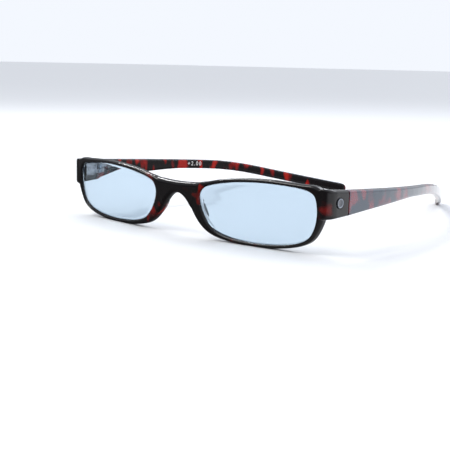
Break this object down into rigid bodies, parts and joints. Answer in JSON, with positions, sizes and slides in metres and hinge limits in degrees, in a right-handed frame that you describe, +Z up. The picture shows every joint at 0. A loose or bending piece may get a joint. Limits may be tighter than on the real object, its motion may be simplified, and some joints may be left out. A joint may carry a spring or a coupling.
{
  "type": "folding reading glasses",
  "caption": "Rectangular full-rim reading glasses with a moulded plastic front, sprung metal hinges and folding temples that bow inwards to a drooped tip.",
  "frame": {"origin": "bottom centre of the box round the open glasses, on the surface that the rims and the temple tips stand on", "axes": "the front faces -Y, the temples run back along +Y, +X is the wearer's left and +Z is up"},
  "size_m": [0.1366, 0.1566, 0.0251],
  "materials": {
    "frame_plastic": "polished moulded plastic, very dark brown with translucent red tortoiseshell patches",
    "lens": "clear acrylic lens with a pale blue cast",
    "hinge_steel": "turned and stamped steel",
    "spring_wire": "drawn spring wire",
    "housing_metal": "bright plated housing",
    "emblem": "plain grey inlay"
  },
  "bodies": {
    "front": {"front_frame": "frame_plastic", "lens_left": "lens", "lens_right": "lens", "hinge_leaf_left": "hinge_steel", "hinge_leaf_right": "hinge_steel", "hinge_screw_left": "hinge_steel", "hinge_screw_right": "hinge_steel", "leaf_pin_front_left": "hinge_steel", "leaf_pin_back_left": "hinge_steel", "leaf_pin_front_right": "hinge_steel", "leaf_pin_back_right": "hinge_steel", "emblem_dot_left": "emblem", "emblem_dot_right": "emblem"},
    "slider_left": {"hinge_slider_left": "hinge_steel", "rod_nut_left": "hinge_steel"},
    "temple_left": {"temple_left": "frame_plastic", "spring_housing_left": "housing_metal", "flex_spring_left": "spring_wire"},
    "slider_right": {"hinge_slider_right": "hinge_steel", "rod_nut_right": "hinge_steel"},
    "temple_right": {"temple_right": "frame_plastic", "spring_housing_right": "housing_metal", "flex_spring_right": "spring_wire"}
  },
  "joints": [
    {"name": "fold_left", "type": "hinge", "parent": "front", "child": "slider_left", "pos_m": [0.0627, -0.06049, 0.0184], "axis": [0, 0, 1], "range_deg": [0, 80]},
    {"name": "spring_travel_left", "type": "slide", "parent": "slider_left", "child": "temple_left", "axis": [0, 1, 0], "range_m": [0, 0.0008], "stiffness_N_per_m": 1500, "springref_m": -0.001, "deforming": ["flex_spring_left"]},
    {"name": "fold_right", "type": "hinge", "parent": "front", "child": "slider_right", "pos_m": [-0.0627, -0.06049, 0.0184], "axis": [0, 0, -1], "range_deg": [0, 75]},
    {"name": "spring_travel_right", "type": "slide", "parent": "slider_right", "child": "temple_right", "axis": [0, 1, 0], "range_m": [0, 0.0008], "stiffness_N_per_m": 1500, "springref_m": -0.001, "deforming": ["flex_spring_right"]}
  ]
}
